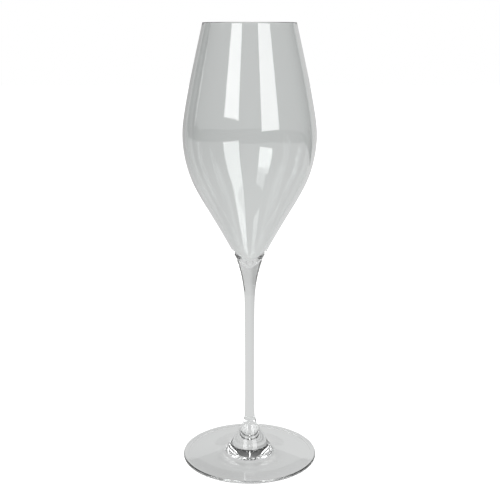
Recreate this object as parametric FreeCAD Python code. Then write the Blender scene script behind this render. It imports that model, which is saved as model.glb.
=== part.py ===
"""Tulip champagne flute of clear crystal glass.

Three pieces of glass, made apart and fused while hot: a blown bowl, a drawn stem and a pressed foot.
Every piece is a body of revolution about Z. The origin is the centre of the plane that the foot rests on.
All sizes are in millimetres. An outline point is (radius, height).
"""

import FreeCAD
import Part
import math
import os

# Overall
HEIGHT = 245.0
FOOT_RADIUS = 38.3

# Bowl: the lip, the belly, and the cone that narrows to the seam with the stem
RIM_RADIUS = 24.82
BELLY_RADIUS = 36.1
BELLY_HEIGHT = 186.0
SEAM_RADIUS = 7.3
SEAM_HEIGHT = 117.9
RIM_WALL = 1.0
CONE_WALL = 1.4
CAVITY_FLOOR = 112.8
CAVITY_TIP_RADIUS = 0.3

# The bowl ends below the seam in a solid cone with a round tip, which the stem's cup wraps
BOSS_HALF_ANGLE = math.radians(29.0)
BOSS_TIP_RADIUS = 1.6

# Stem
STEM_RADIUS = 2.62

# Foot: a round-shouldered cone that the stem stands on, running out into a thin disc with a fully rounded edge
JOINT_RADIUS = 3.02
JOINT_HEIGHT = 22.6
SHOULDER_RADIUS = 3.72
EDGE_THICKNESS = 2.0
EDGE_SLOPE = math.radians(4.0)
RING_INNER_RADIUS = 35.5
KICK_HEIGHT = 1.6

SPLINE_DEGREE = 3


def point(radius, height):
    """An outline point in the XZ plane."""
    return FreeCAD.Vector(radius, 0, height)


def line(a, b):
    return Part.makeLine(point(*a), point(*b))


def arc(a, through, b):
    return Part.Arc(point(*a), point(*through), point(*b)).toShape()


def spline(poles):
    """A smooth cubic curve that is drawn towards its poles and starts and ends on the first and the last."""
    spans = len(poles) - SPLINE_DEGREE
    knots = list(range(spans + 1))
    ends = SPLINE_DEGREE + 1
    multiplicities = [ends] + [1] * (spans - 1) + [ends]
    curve = Part.BSplineCurve()
    curve.buildFromPolesMultsKnots([point(*p) for p in poles], multiplicities, knots, False, SPLINE_DEGREE)
    return curve.toShape()


def turn(edges):
    """The solid that a closed outline sweeps in one full turn about Z."""
    face = Part.Face(Part.Wire(edges))
    solid = face.revolve(FreeCAD.Vector(0, 0, 0), FreeCAD.Vector(0, 0, 1), 360)
    if solid.Volume < 0:
        solid.reverse()
    return solid


def bowl_poles():
    """The bowl's outside, from the rim down to the seam."""
    return [
        (RIM_RADIUS, HEIGHT - 0.4),
        (27.74, 232.0),
        (32.31, 212.0),
        (35.29, 196.0),
        (BELLY_RADIUS + 0.36, BELLY_HEIGHT),
        (35.37, 174.0),
        (31.35, 160.0),
        (22.36, 145.0),
        (13.66, 130.0),
        (SEAM_RADIUS, SEAM_HEIGHT),
    ]


def wall_at(height):
    """The bowl's wall is thinnest at the rim and thickens evenly down to the seam."""
    share = (HEIGHT - height) / (HEIGHT - SEAM_HEIGHT)
    return RIM_WALL + (CONE_WALL - RIM_WALL) * share


def inward(before, here, after, depth):
    """here, moved to the inside of an outline that runs downwards, square to its direction."""
    run = (after[0] - before[0], after[1] - before[1])
    length = math.hypot(*run)
    return (here[0] + run[1] / length * depth, here[1] - run[0] / length * depth)


def cavity_poles(outside):
    """The bowl's inside: the outside moved in by the wall, down to a sharp tip above solid glass."""
    wall = [inward(outside[0], outside[0], outside[1], RIM_WALL)]
    for before, here, after in zip(outside, outside[1:], outside[2:]):
        wall.append(inward(before, here, after, wall_at(here[1])))
    tip = [
        (7.1, 119.9),
        (2.6, 115.4),
        (CAVITY_TIP_RADIUS, CAVITY_FLOOR),
        (0.0, CAVITY_FLOOR),
    ]
    return wall + tip


def boss_points():
    """The weld between bowl and stem: seam, end of the cone, a point on the round tip, and the tip."""
    sine, cosine = math.sin(BOSS_HALF_ANGLE), math.cos(BOSS_HALF_ANGLE)
    end_radius = BOSS_TIP_RADIUS * cosine
    drop = (SEAM_RADIUS - end_radius) * cosine / sine
    end = (end_radius, SEAM_HEIGHT - drop)
    centre = end[1] + BOSS_TIP_RADIUS * sine
    half = (BOSS_HALF_ANGLE + math.pi / 2) / 2
    middle = (BOSS_TIP_RADIUS * math.cos(half), centre - BOSS_TIP_RADIUS * math.sin(half))
    return (SEAM_RADIUS, SEAM_HEIGHT), end, middle, (0.0, centre - BOSS_TIP_RADIUS)


def bowl():
    outside = bowl_poles()
    cavity = cavity_poles(outside)
    lip_centre = ((outside[0][0] + cavity[0][0]) / 2, (outside[0][1] + cavity[0][1]) / 2)
    lip_top = (lip_centre[0], lip_centre[1] + RIM_WALL / 2)
    seam, end, middle, tip = boss_points()
    return turn(
        [
            arc(cavity[0], lip_top, outside[0]),
            spline(outside),
            line(seam, end),
            arc(end, middle, tip),
            line(tip, cavity[-1]),
            spline(cavity[::-1]),
        ]
    )


def stem():
    """The stem starts in line with the bowl, swells a little where its glass was laid on, and flares inwards."""
    seam, end, middle, tip = boss_points()
    shaft = [
        seam,
        (7.17, 117.65),
        (7.12, 117.0),
        (6.95, 116.2),
        (5.85, 113.0),
        (4.0, 106.0),
        (2.86, 97.0),
        (2.74, 86.0),
        (STEM_RADIUS, 62.0),
        (STEM_RADIUS, 40.0),
        (2.7, 31.0),
        (2.8, 26.5),
        (JOINT_RADIUS, JOINT_HEIGHT),
    ]
    foot_end = (0.0, JOINT_HEIGHT)
    return turn(
        [
            arc(tip, middle, end),
            line(end, seam),
            spline(shaft),
            line(shaft[-1], foot_end),
            line(foot_end, tip),
        ]
    )


def foot():
    edge_radius = EDGE_THICKNESS / 2
    edge_centre = (FOOT_RADIUS - edge_radius, edge_radius)
    edge_top = (
        edge_centre[0] + edge_radius * math.sin(EDGE_SLOPE),
        edge_centre[1] + edge_radius * math.cos(EDGE_SLOPE),
    )
    disc_run = 12.0
    top = [
        (JOINT_RADIUS, JOINT_HEIGHT),
        (JOINT_RADIUS + 0.5, JOINT_HEIGHT - 0.1),
        (SHOULDER_RADIUS, JOINT_HEIGHT - 0.9),
        (SHOULDER_RADIUS, JOINT_HEIGHT - 2.2),
        (4.25, 18.6),
        (5.5, 16.3),
        (8.2, 12.6),
        (10.4, 7.1),
        (13.8, 4.3),
        (edge_top[0] - disc_run, edge_top[1] + disc_run * math.tan(EDGE_SLOPE)),
        edge_top,
    ]
    kick = [
        (RING_INNER_RADIUS, 0.0),
        (34.5, 0.3),
        (28.0, 0.85),
        (15.0, 1.45),
        (6.0, KICK_HEIGHT),
        (0.0, KICK_HEIGHT),
    ]
    joint_centre = (0.0, JOINT_HEIGHT)
    ring_outer = (edge_centre[0], 0.0)
    return turn(
        [
            line(joint_centre, top[0]),
            spline(top),
            arc(edge_top, (FOOT_RADIUS, edge_radius), ring_outer),
            line(ring_outer, kick[0]),
            spline(kick),
            line(kick[-1], joint_centre),
        ]
    )


def main():
    os.makedirs("parts", exist_ok=True)
    for name, make in (("bowl", bowl), ("stem", stem), ("foot", foot)):
        solid = make()
        if not solid.isValid():
            raise ValueError(f"{name} is not a valid solid")
        solid.exportStep(f"parts/{name}.step")
        box = solid.optimalBoundingBox()
        print(f"{name}: {solid.Volume:.0f} mm3, z {box.ZMin:.2f} to {box.ZMax:.2f}, radius {box.XMax:.2f}")


main()
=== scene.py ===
"""Looks of the tulip champagne flute: three pieces of clear crystal, fused while hot, in a plain studio.

Outlines are in millimetres, and lathe() scales them by MM into metres, which all else is in. An outline point
is (radius, height), about the frame's Z axis.
"""

import math

import bpy
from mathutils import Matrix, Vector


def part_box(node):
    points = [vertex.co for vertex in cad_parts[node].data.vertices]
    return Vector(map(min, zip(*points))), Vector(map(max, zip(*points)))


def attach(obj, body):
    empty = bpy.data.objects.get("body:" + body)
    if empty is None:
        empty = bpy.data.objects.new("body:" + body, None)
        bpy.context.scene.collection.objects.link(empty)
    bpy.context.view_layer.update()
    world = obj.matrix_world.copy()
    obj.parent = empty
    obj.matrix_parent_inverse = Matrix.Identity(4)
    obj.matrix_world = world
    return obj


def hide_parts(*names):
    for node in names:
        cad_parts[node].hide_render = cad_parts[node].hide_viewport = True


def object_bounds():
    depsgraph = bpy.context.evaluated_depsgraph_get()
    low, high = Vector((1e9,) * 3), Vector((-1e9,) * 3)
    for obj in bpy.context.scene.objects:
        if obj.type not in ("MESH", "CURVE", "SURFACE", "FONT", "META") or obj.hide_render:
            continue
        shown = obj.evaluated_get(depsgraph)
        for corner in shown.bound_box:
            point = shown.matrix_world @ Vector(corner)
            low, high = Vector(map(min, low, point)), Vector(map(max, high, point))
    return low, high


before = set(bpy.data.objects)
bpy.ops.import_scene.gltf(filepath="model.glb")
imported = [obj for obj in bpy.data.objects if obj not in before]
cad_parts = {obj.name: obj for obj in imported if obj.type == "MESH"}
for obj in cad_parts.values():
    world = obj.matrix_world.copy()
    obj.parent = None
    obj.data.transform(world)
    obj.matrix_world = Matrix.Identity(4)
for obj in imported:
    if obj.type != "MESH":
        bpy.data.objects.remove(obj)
cad_low, cad_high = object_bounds()

MM = 0.001
BODY = "root"

# Driving sizes in millimetres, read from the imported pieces
BOWL_LOW, BOWL_HIGH = (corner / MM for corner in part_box("bowl"))
STEM_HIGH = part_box("stem")[1] / MM
FOOT_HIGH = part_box("foot")[1] / MM
HEIGHT = BOWL_HIGH.z
BELLY_RADIUS = BOWL_HIGH.x
FOOT_RADIUS = FOOT_HIGH.x
JOINT_HEIGHT = FOOT_HIGH.z
SEAM_HEIGHT = STEM_HIGH.z
BOSS_TIP_HEIGHT = BOWL_LOW.z

# Smaller sizes of the outlines, in millimetres
RIM_RADIUS = 24.82
RIM_WALL = 1.0
CONE_WALL = 1.4
SEAM_RADIUS = 7.3
CAVITY_FLOOR = 112.8
CAVITY_TIP_RADIUS = 0.3
BOSS_TIP_RADIUS = 1.6
STEM_RADIUS = 2.62
JOINT_RADIUS = 3.02
SHOULDER_RADIUS = 3.72
EDGE_RADIUS = 1.0
RING_INNER_RADIUS = 35.5
KICK_HEIGHT = 1.6

# Fineness of the meshes
MERIDIANS = 256

# The stage, in metres and degrees
EYE_DISTANCE = 0.5109
EYE_ABOVE_RIM = 0.003
EYE_TILT = 13.85
VIEW_ANGLE = 29.48
WALL_DISTANCE = 1.6
BOWL_LEVEL = 0.19
BOUNCES = 24

# Two windows on the camera's side, in bands that differ in brightness, faint side patches and narrow slits.
# Each is name, the wall's azimuth, lower and upper edge, left and right edge, and radiance; see lamp().
LIGHTS = [
    ("window_right", 35, 6, 46.5, -14.7, 16.5, 4.4),
    ("window_right_upper", 35, 46.5, 58, -15.5, 16, 2.8),
    ("window_right_top", 35, 58, 74, -9, 9, 4),
    ("window_left", -30, 12, 31, -15.3, 11, 4.9),
    ("window_left_middle", -30, 31, 36.5, -15.3, 11, 2.8),
    ("window_left_upper", -30, 36.5, 46, -11, 11, 1.7),
    ("window_left_top", -26, 56, 74, -8, 8, 4),
    ("side_right", 75, 22, 42, -6, 6, 0.5),
    ("side_left", -72, 22, 42, -6, 6, 0.5),
    ("side_left_slit", -108, 2, 30, -0.5, 0.5, 3),
    ("back_slit", 180.6, 38, 60, -0.5, 0.5, 8),
    ("back_slit_low", 180.6, 29, 38, -0.5, 0.5, 2.5),
]


# ---------------------------------------------------------------- outlines

def spline(poles, count):
    """count points of a cubic curve that starts and ends on the first and the last pole, with even knots."""
    spans = len(poles) - 3
    knots = [0] * 3 + list(range(spans + 1)) + [spans] * 3
    points = []
    for step in range(count):
        at = spans * step / (count - 1)
        span = min(int(at), spans - 1) + 3
        near = [poles[span - 3 + i] for i in range(4)]
        for level in range(1, 4):
            for i in range(3, level - 1, -1):
                low = knots[span - 3 + i]
                high = knots[span + 1 + i - level]
                share = (at - low) / (high - low)
                near[i] = tuple(a + (b - a) * share for a, b in zip(near[i - 1], near[i]))
        points.append(near[3])
    return points


def arc(centre, radius, start, end, count):
    """count points of an arc; its angles are in degrees from straight out, up being positive."""
    angles = [math.radians(start + (end - start) * step / (count - 1)) for step in range(count)]
    return [(centre[0] + radius * math.cos(a), centre[1] + radius * math.sin(a)) for a in angles]


def bowl_outside():
    return [
        (RIM_RADIUS, HEIGHT - 0.4),
        (27.74, 232.0),
        (32.31, 212.0),
        (35.29, 196.0),
        (BELLY_RADIUS + 0.38, 186.0),
        (35.37, 174.0),
        (31.35, 160.0),
        (22.36, 145.0),
        (13.66, 130.0),
        (SEAM_RADIUS, SEAM_HEIGHT),
    ]


def inward(before, here, after, depth):
    """here, moved to the inside of an outline that runs downwards, square to its direction."""
    run = (after[0] - before[0], after[1] - before[1])
    length = math.hypot(*run)
    return (here[0] + run[1] / length * depth, here[1] - run[0] / length * depth)


def cavity(outside):
    """The bowl's inside: the outside moved in by the wall, which thickens downwards, and a sharp tip."""
    wall = [inward(outside[0], outside[0], outside[1], RIM_WALL)]
    for before, here, after in zip(outside, outside[1:], outside[2:]):
        share = (HEIGHT - here[1]) / (HEIGHT - SEAM_HEIGHT)
        wall.append(inward(before, here, after, RIM_WALL + (CONE_WALL - RIM_WALL) * share))
    return wall + [(7.1, 119.9), (2.6, 115.4), (CAVITY_TIP_RADIUS, CAVITY_FLOOR), (0.0, CAVITY_FLOOR)]


def boss():
    """The weld between bowl and stem, from the seam down a cone to a round tip on the axis."""
    centre = (0.0, BOSS_TIP_HEIGHT + BOSS_TIP_RADIUS)
    rise = SEAM_HEIGHT - centre[1]
    reach = math.hypot(SEAM_RADIUS, rise)
    tangent = math.degrees(math.atan2(rise, SEAM_RADIUS) - math.acos(BOSS_TIP_RADIUS / reach))
    return [(SEAM_RADIUS, SEAM_HEIGHT)] + arc(centre, BOSS_TIP_RADIUS, tangent, -90, 12)


def bowl_outline():
    outside = bowl_outside()
    inside = cavity(outside)
    lip_centre = ((outside[0][0] + inside[0][0]) / 2, (outside[0][1] + inside[0][1]) / 2)
    lean = math.degrees(math.atan2(outside[0][1] - lip_centre[1], outside[0][0] - lip_centre[0]))
    lip = arc(lip_centre, RIM_WALL / 2, lean + 180, lean, 17)
    return [
        ("glass", spline(inside[::-1], 180)),
        ("glass", lip),
        ("glass", spline(outside, 150)),
        ("weld", boss()),
    ]


def stem_outline():
    shaft = [
        (SEAM_RADIUS, SEAM_HEIGHT),
        (7.17, 117.65),
        (7.12, 117.0),
        (6.95, 116.2),
        (5.85, 113.0),
        (4.0, 106.0),
        (2.86, 97.0),
        (2.74, 86.0),
        (STEM_RADIUS, 62.0),
        (STEM_RADIUS, 40.0),
        (2.7, 31.0),
        (2.8, 26.5),
        (JOINT_RADIUS, JOINT_HEIGHT),
    ]
    butt = [(JOINT_RADIUS, JOINT_HEIGHT), (0.0, JOINT_HEIGHT)]
    return [("weld", boss()[::-1]), ("glass", spline(shaft, 220)), ("weld", butt)]


def foot_outline():
    edge_centre = (FOOT_RADIUS - EDGE_RADIUS, EDGE_RADIUS)
    slope = 4.0
    edge = arc(edge_centre, EDGE_RADIUS, 90 - slope, -90, 17)
    disc_run = 12.0
    top = [
        (JOINT_RADIUS, JOINT_HEIGHT),
        (JOINT_RADIUS + 0.5, JOINT_HEIGHT - 0.1),
        (SHOULDER_RADIUS, JOINT_HEIGHT - 0.9),
        (SHOULDER_RADIUS, JOINT_HEIGHT - 2.2),
        (4.25, 18.6),
        (5.5, 16.3),
        (8.2, 12.6),
        (10.4, 7.1),
        (13.8, 4.3),
        (edge[0][0] - disc_run, edge[0][1] + disc_run * math.tan(math.radians(slope))),
        edge[0],
    ]
    ring = [edge[-1], (RING_INNER_RADIUS, 0.0)]
    kick = [
        (RING_INNER_RADIUS, 0.0),
        (34.5, 0.3),
        (28.0, 0.85),
        (15.0, 1.45),
        (6.0, KICK_HEIGHT),
        (0.0, KICK_HEIGHT),
    ]
    butt = [(0.0, JOINT_HEIGHT), (JOINT_RADIUS, JOINT_HEIGHT)]
    return [
        ("weld", butt),
        ("glass", spline(top, 190)),
        ("glass", edge),
        ("glass", ring),
        ("glass", spline(kick, 70)),
    ]


# ---------------------------------------------------------------- meshes

def lathe(name, stretches, materials):
    """A closed mesh turned about Z from an outline that starts and ends on the axis."""
    points = []
    kinds = []
    for kind, stretch in stretches:
        fresh = stretch if not points else stretch[1:]
        kinds += [kind] * (len(fresh) if points else len(fresh) - 1)
        points += fresh
    inner = points[1:-1]
    vertices = [(0.0, 0.0, points[0][1] * MM)]
    for radius, height in inner:
        for step in range(MERIDIANS):
            turn = math.tau * step / MERIDIANS
            vertices.append((radius * MM * math.cos(turn), radius * MM * math.sin(turn), height * MM))
    vertices.append((0.0, 0.0, points[-1][1] * MM))
    last = len(vertices) - 1

    def ring(index, step):
        return 1 + index * MERIDIANS + step % MERIDIANS

    faces = []
    face_kinds = []
    for step in range(MERIDIANS):
        faces.append((0, ring(0, step), ring(0, step + 1)))
        face_kinds.append(kinds[0])
    for index in range(len(inner) - 1):
        for step in range(MERIDIANS):
            near = (ring(index, step), ring(index + 1, step))
            far = (ring(index + 1, step + 1), ring(index, step + 1))
            faces.append(near + far)
            face_kinds.append(kinds[index + 1])
    for step in range(MERIDIANS):
        faces.append((ring(len(inner) - 1, step), last, ring(len(inner) - 1, step + 1)))
        face_kinds.append(kinds[-1])

    mesh = bpy.data.meshes.new(name)
    mesh.from_pydata(vertices, [], faces)
    for material in materials:
        mesh.materials.append(material)
    order = {"glass": 0, "weld": 1}
    mesh.polygons.foreach_set("material_index", [order[kind] for kind in face_kinds])
    mesh.polygons.foreach_set("use_smooth", [True] * len(faces))
    mark_corners(mesh, [len(stretch) for _, stretch in stretches], [kind for kind, _ in stretches])
    mesh.update()
    piece = bpy.data.objects.new(name, mesh)
    bpy.context.collection.objects.link(piece)
    return piece


def mark_corners(mesh, counts, kinds):
    """Sharp edges round each ring where glass meets a weld, so that the two don't share their shading."""
    corners = set()
    at = 0
    for count, kind, after in zip(counts, kinds, kinds[1:]):
        at += count - 1
        if kind != after:
            corners.add(at - 1)
    for edge in mesh.edges:
        a, b = edge.vertices
        rows = {(a - 1) // MERIDIANS, (b - 1) // MERIDIANS}
        edge.use_edge_sharp = len(rows) == 1 and rows <= corners


# ---------------------------------------------------------------- materials

def node(tree, kind, **values):
    """A new node with its properties and, by input name, its socket values."""
    made = tree.nodes.new(kind)
    for key, value in values.items():
        if key in made.inputs:
            made.inputs[key].default_value = value
        else:
            setattr(made, key, value)
    return made


def ramp(tree, stops):
    """A colour ramp of greys, from (place, value) stops."""
    made = node(tree, "ShaderNodeValToRGB")
    elements = made.color_ramp.elements
    while len(elements) < len(stops):
        elements.new(0.5)
    for element, (place, value) in zip(elements, stops):
        element.position = place
        element.color = (value, value, value, 1.0)
    return made


def fade(tree, source, start, end, first=0.0, last=1.0):
    """A value that runs from first to last while the source runs from start to end."""
    made = node(tree, "ShaderNodeMapRange")
    made.inputs["From Min"].default_value = start
    made.inputs["From Max"].default_value = end
    made.inputs["To Min"].default_value = first
    made.inputs["To Max"].default_value = last
    tree.links.new(source, made.inputs["Value"])
    return made.outputs["Result"]


def times(tree, first, second):
    """The product of two values."""
    made = node(tree, "ShaderNodeMath", operation="MULTIPLY")
    tree.links.new(first, made.inputs[0])
    tree.links.new(second, made.inputs[1])
    return made.outputs[0]


def mix(tree, factor, first, second, kind="MIX"):
    """A blend of two colours; each input is an output socket, a colour or, for the factor, a number."""
    made = node(tree, "ShaderNodeMix", data_type="RGBA", blend_type=kind)
    for socket, value in ((made.inputs["Factor"], factor), (made.inputs[6], first), (made.inputs[7], second)):
        if isinstance(value, bpy.types.NodeSocket):
            tree.links.new(value, socket)
        else:
            socket.default_value = value
    return made.outputs[2]


def crystal():
    """Clear crystal: a cool tint that drifts a little, a hand-blown ripple and fine polishing marks."""
    material = bpy.data.materials.new("crystal_glass")
    material.use_nodes = True
    tree = material.node_tree
    shader = tree.nodes["Principled BSDF"]
    shader.inputs["IOR"].default_value = 1.52
    shader.inputs["Transmission Weight"].default_value = 1.0

    coord = node(tree, "ShaderNodeTexCoord")
    drift = node(tree, "ShaderNodeTexNoise", Scale=16.0, Detail=2.0)
    tree.links.new(coord.outputs["Object"], drift.inputs["Vector"])
    tint = mix(tree, drift.outputs["Fac"], (0.968, 0.988, 0.981, 1.0), (0.984, 0.992, 0.990, 1.0))
    edge = node(tree, "ShaderNodeLayerWeight", Blend=0.5)
    dimming = ramp(tree, [(0.80, 1.0), (1.0, 0.82)])
    tree.links.new(edge.outputs["Facing"], dimming.inputs["Fac"])
    tree.links.new(mix(tree, 1.0, tint, dimming.outputs["Color"], "MULTIPLY"), shader.inputs["Base Color"])

    scratches = node(tree, "ShaderNodeTexNoise", Scale=700.0, Detail=3.0)
    polish = ramp(tree, [(0.66, 0.0), (0.80, 0.05)])
    tree.links.new(coord.outputs["Object"], scratches.inputs["Vector"])
    tree.links.new(scratches.outputs["Fac"], polish.inputs["Fac"])
    tree.links.new(polish.outputs["Color"], shader.inputs["Roughness"])

    drawn = node(tree, "ShaderNodeMapping", Scale=(1.0, 1.0, 0.5))
    ripple = node(tree, "ShaderNodeTexNoise", Scale=70.0, Detail=1.5)
    bump = node(tree, "ShaderNodeBump", Strength=1.0, Distance=0.02 * MM)
    tree.links.new(coord.outputs["Object"], drawn.inputs["Vector"])
    tree.links.new(drawn.outputs["Vector"], ripple.inputs["Vector"])
    tree.links.new(ripple.outputs["Fac"], bump.inputs["Height"])
    tree.links.new(bump.outputs["Normal"], shader.inputs["Normal"])
    return material


def weld():
    """The hidden faces where two pieces are melted together: light passes as if nothing were there."""
    material = bpy.data.materials.new("fused_joint")
    material.use_nodes = True
    shader = material.node_tree.nodes["Principled BSDF"]
    shader.inputs["Alpha"].default_value = 0.0
    return material


# ---------------------------------------------------------------- studio

def grey(value):
    return (value, value, value, 1.0)


def lamp(name, azimuth, low, high, left, right, radiance):
    """An upright soft light on a wall, given by its edges as angles seen from the bowl.

    azimuth is the wall's; left and right count from it. 0 is the camera's side (-Y) and 90 is +X.
    """
    bottom, top = (BOWL_LEVEL + WALL_DISTANCE * math.tan(math.radians(angle)) for angle in (low, high))
    start, end = (WALL_DISTANCE * math.tan(math.radians(angle)) for angle in (left, right))
    light = bpy.data.lights.new(name, "AREA")
    light.shape = "RECTANGLE"
    light.size = end - start
    light.size_y = top - bottom
    light.energy = radiance * math.pi * light.size * light.size_y
    made = bpy.data.objects.new(name, light)
    turn = math.radians(azimuth)
    along = (start + end) / 2
    made.location = (
        math.sin(turn) * WALL_DISTANCE + math.cos(turn) * along,
        -math.cos(turn) * WALL_DISTANCE + math.sin(turn) * along,
        (bottom + top) / 2,
    )
    made.rotation_euler = (math.radians(90), 0, turn)
    made.visible_camera = False
    bpy.context.collection.objects.link(made)


def studio_world():
    """White to the camera, a dim room to reflections, and pale walls to a look straight through the glass."""
    world = bpy.data.worlds.new("studio")
    bpy.context.scene.world = world
    world.use_nodes = True
    tree = world.node_tree
    tree.nodes.clear()
    coord = node(tree, "ShaderNodeTexCoord")
    axes = node(tree, "ShaderNodeSeparateXYZ")
    tree.links.new(coord.outputs["Generated"], axes.inputs[0])
    height = ramp(tree, [(0.0, 0.08), (0.5, 0.06), (0.6, 0.05), (0.8, 0.06), (1.0, 0.35)])
    tree.links.new(fade(tree, axes.outputs["Z"], -1.0, 1.0), height.inputs["Fac"])
    path = node(tree, "ShaderNodeLightPath")
    straight = node(tree, "ShaderNodeMath", operation="LESS_THAN")
    straight.inputs[1].default_value = 0.5
    tree.links.new(path.outputs["Glossy Depth"], straight.inputs[0])
    pale = times(tree, straight.outputs[0], fade(tree, axes.outputs["Y"], 0.3, 0.15))
    walls = mix(tree, pale, height.outputs["Color"], grey(0.6))
    seen = mix(tree, path.outputs["Is Camera Ray"], walls, grey(1.0))
    background = node(tree, "ShaderNodeBackground")
    output = node(tree, "ShaderNodeOutputWorld")
    tree.links.new(seen, background.inputs["Color"])
    tree.links.new(background.outputs["Background"], output.inputs["Surface"])


def stage_mesh(name, vertices, faces, material):
    mesh = bpy.data.meshes.new(name)
    mesh.from_pydata(vertices, [], faces)
    mesh.materials.append(material)
    made = bpy.data.objects.new(name, mesh)
    bpy.context.collection.objects.link(made)
    return made


def floor():
    """A pale matt table, nearly white, that only the camera sees."""
    material = bpy.data.materials.new("pale_floor")
    material.use_nodes = True
    tree = material.node_tree
    tree.nodes.clear()
    matt = node(tree, "ShaderNodeBsdfDiffuse", Color=grey(0.5))
    glow = node(tree, "ShaderNodeEmission", Color=grey(1.0), Strength=0.9)
    both = node(tree, "ShaderNodeAddShader")
    output = node(tree, "ShaderNodeOutputMaterial")
    tree.links.new(matt.outputs[0], both.inputs[0])
    tree.links.new(glow.outputs[0], both.inputs[1])
    tree.links.new(both.outputs[0], output.inputs["Surface"])
    half = 3.0
    level = cad_low.z - 0.04 * MM
    corners = [(-half, -half, level), (half, -half, level), (half, half, level), (-half, half, level)]
    plane = stage_mesh("floor", corners, [(0, 1, 2, 3)], material)
    plane.visible_glossy = plane.visible_transmission = plane.visible_diffuse = plane.visible_shadow = False


def sweep():
    """A grey paper sweep under and behind the glass, seen only in it and through it.

    Its glow has painted shading, darker towards its back and its left, and a painted soft shadow in front of
    the foot.
    """
    material = bpy.data.materials.new("paper_sweep")
    material.use_nodes = True
    tree = material.node_tree
    tree.nodes.clear()
    coord = node(tree, "ShaderNodeTexCoord")
    axes = node(tree, "ShaderNodeSeparateXYZ")
    tree.links.new(coord.outputs["Object"], axes.inputs[0])
    # painted shading: the glow falls off towards the back and towards the left
    away = fade(tree, axes.outputs["Y"], -0.1, 1.5, 0.70, 0.60)
    aside = fade(tree, axes.outputs["X"], -0.45, 0.0, 0.74, 1.0)
    # painted soft shadow on the sweep just in front of the foot, where the glass stands
    apart = node(tree, "ShaderNodeVectorMath", operation="DISTANCE")
    apart.inputs[1].default_value = (-0.014, -0.034, cad_low.z)
    tree.links.new(coord.outputs["Object"], apart.inputs[0])
    painted_contact_shadow = fade(tree, apart.outputs["Value"], 0.0, 0.045, 0.85, 1.0)
    glow = node(tree, "ShaderNodeEmission")
    tree.links.new(times(tree, times(tree, away, aside), painted_contact_shadow), glow.inputs["Strength"])
    output = node(tree, "ShaderNodeOutputMaterial")
    tree.links.new(glow.outputs[0], output.inputs["Surface"])
    front = -1.6
    back = 1.5
    top = 0.83
    bend = 0.45
    left = 1.5
    right = 1.3
    right_bearing = math.tan(math.radians(48))
    steps = 16
    level = cad_low.z - 0.02 * MM
    line = [(front, level, left, right), (0.35, level, left, right), (0.45, level, left, 0.36)]
    for step in range(steps + 1):
        turn = math.radians(90 * step / steps)
        y = back - bend + bend * math.sin(turn)
        line.append((y, level + bend - bend * math.cos(turn), left, y * right_bearing))
    line.append((back, top, *line[-1][2:]))
    vertices = [corner for y, z, west, east in line for corner in ((-west, y, z), (east, y, z))]
    faces = [(2 * i, 2 * i + 1, 2 * i + 3, 2 * i + 2) for i in range(len(line) - 1)]
    paper = stage_mesh("sweep", vertices, faces, material)
    paper.visible_camera = paper.visible_diffuse = paper.visible_shadow = False


def camera():
    """Slightly above the rim's height, half a metre away, looking down at the middle of the glass."""
    data = bpy.data.cameras.new("camera")
    data.sensor_width = 36
    data.lens = data.sensor_width / 2 / math.tan(math.radians(VIEW_ANGLE / 2))
    data.shift_x = 0.0008
    data.shift_y = 0.001
    eye = bpy.data.objects.new("camera", data)
    eye.location = (0, -EYE_DISTANCE, cad_high.z + EYE_ABOVE_RIM)
    eye.rotation_euler = (math.radians(90 - EYE_TILT), 0, 0)
    data.clip_start = 0.01
    bpy.context.collection.objects.link(eye)
    bpy.context.scene.camera = eye


# ---------------------------------------------------------------- the scene

glass = crystal()
joint = weld()
for name, outline in (("bowl", bowl_outline()), ("stem", stem_outline()), ("foot", foot_outline())):
    piece = lathe(f"{name}_glass", outline, [glass, joint])
    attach(piece, BODY)
    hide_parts(name)

studio_world()
floor()
sweep()
for light in LIGHTS:
    lamp(*light)
camera()
bpy.context.scene.view_settings.view_transform = "Standard"
settings = bpy.context.scene.cycles
settings.max_bounces = settings.transmission_bounces = settings.glossy_bounces = BOUNCES
settings.transparent_max_bounces = 32
